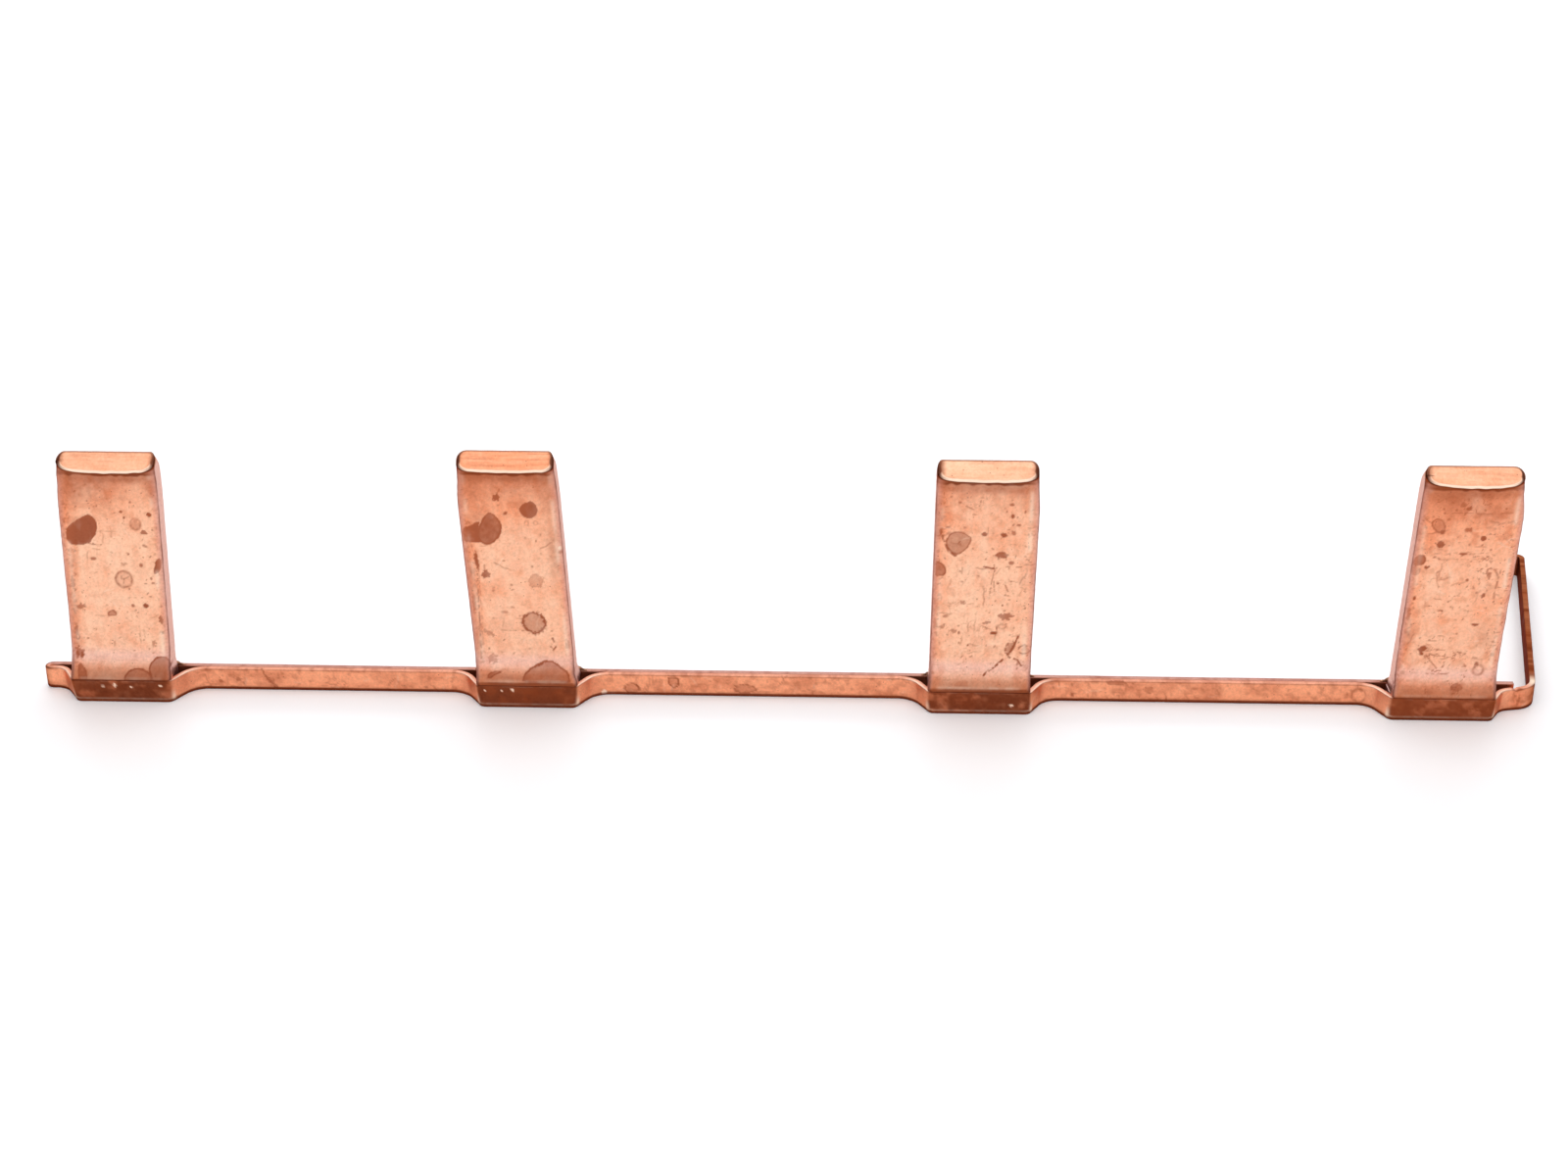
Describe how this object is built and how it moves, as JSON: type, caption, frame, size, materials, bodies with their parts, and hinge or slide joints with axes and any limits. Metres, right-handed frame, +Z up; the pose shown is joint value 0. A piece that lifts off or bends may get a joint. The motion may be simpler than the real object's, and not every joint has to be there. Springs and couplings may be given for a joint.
{
  "type": "laminated busbar",
  "caption": "Comb busbar in bare copper: thick upright blades with forward-turned tips, held between the two layers of one folded strip that ends in a rear leg.",
  "frame": {"origin": "middle of the footprint on the table, under the bounding box", "axes": "+X along the rail from the folded end to the leg end, +Y from the blade fronts to the back, +Z up"},
  "size_m": [0.1918, 0.0436, 0.0329],
  "materials": {
    "copper_strip": "bare rolled copper, satin, heat tinted at the toes",
    "copper_blade": "bare copper, satin, stained and scratched",
    "braze": "copper filler, dull"
  },
  "bodies": {
    "root": {"carrier_strip": "copper_strip", "blade_1": "copper_blade", "blade_2": "copper_blade", "blade_3": "copper_blade", "blade_4": "copper_blade", "braze_beads": "braze"}
  },
  "joints": []
}
